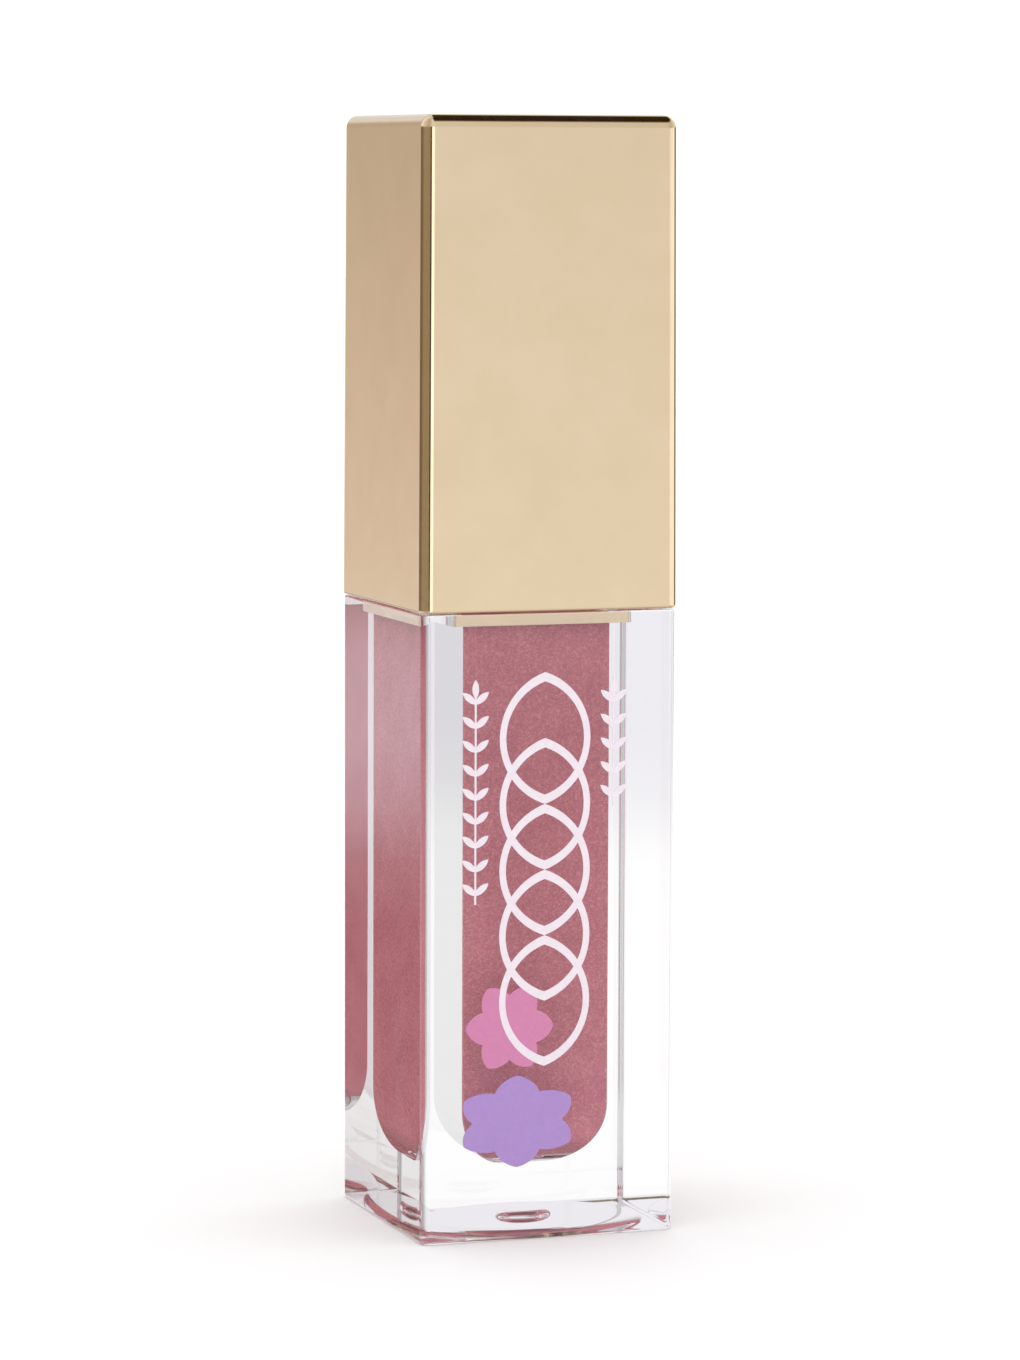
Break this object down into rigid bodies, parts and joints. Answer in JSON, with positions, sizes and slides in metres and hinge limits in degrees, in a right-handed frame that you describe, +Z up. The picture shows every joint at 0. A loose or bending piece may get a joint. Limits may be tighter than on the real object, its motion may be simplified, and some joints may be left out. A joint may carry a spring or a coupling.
{
  "type": "lip gloss tube",
  "caption": "Square heavy-walled clear lip gloss bottle with a tall gold screw cap that carries a flocked doe-foot applicator through a wiper.",
  "frame": {"origin": "centre of the square base, on the surface the tube stands on", "axes": "+Z up the tube through the neck and cap, -Y out of the printed front face, +X to the right of the print"},
  "size_m": [0.0192, 0.0192, 0.0799],
  "materials": {
    "clear_body": "polished",
    "neck": "polished",
    "gloss": "gloss",
    "wiper": "satin",
    "ink_white": "satin",
    "ink_lilac": "satin",
    "ink_pink": "satin",
    "gold": "polished",
    "inner_cap": "satin",
    "washer": "matte",
    "stem": "satin",
    "tip_core": "satin",
    "flock": "matte"
  },
  "bodies": {
    "bottle": {"bottle_body": "clear_body", "neck_collar": "neck", "gloss_fill": "gloss", "wiper": "wiper", "front_print_white": "ink_white", "front_print_lilac": "ink_lilac", "front_print_pink": "ink_pink"},
    "lift": {"seal_washer": "washer"},
    "rise": {"applicator_stem": "stem"},
    "cap": {"cap_shell": "gold", "inner_cap": "inner_cap", "applicator_tip": "tip_core", "tip_flock": "flock"}
  },
  "joints": [
    {"name": "applicator_pull", "type": "slide", "parent": "bottle", "child": "lift", "axis": [0, 0, 1], "range_m": [0, 0.054]},
    {"name": "thread_rise", "type": "slide", "parent": "lift", "child": "rise", "axis": [0, 0, 1], "range_m": [0, 0.0045]},
    {"name": "cap_unscrew", "type": "hinge", "parent": "rise", "child": "cap", "pos_m": [0, 0, 0.0449], "axis": [0, 0, 1], "range_deg": [0, 540]}
  ],
  "couplings": [
    {"joint": "thread_rise", "follows": "cap_unscrew", "m_per_rad": 0.00047746}
  ]
}
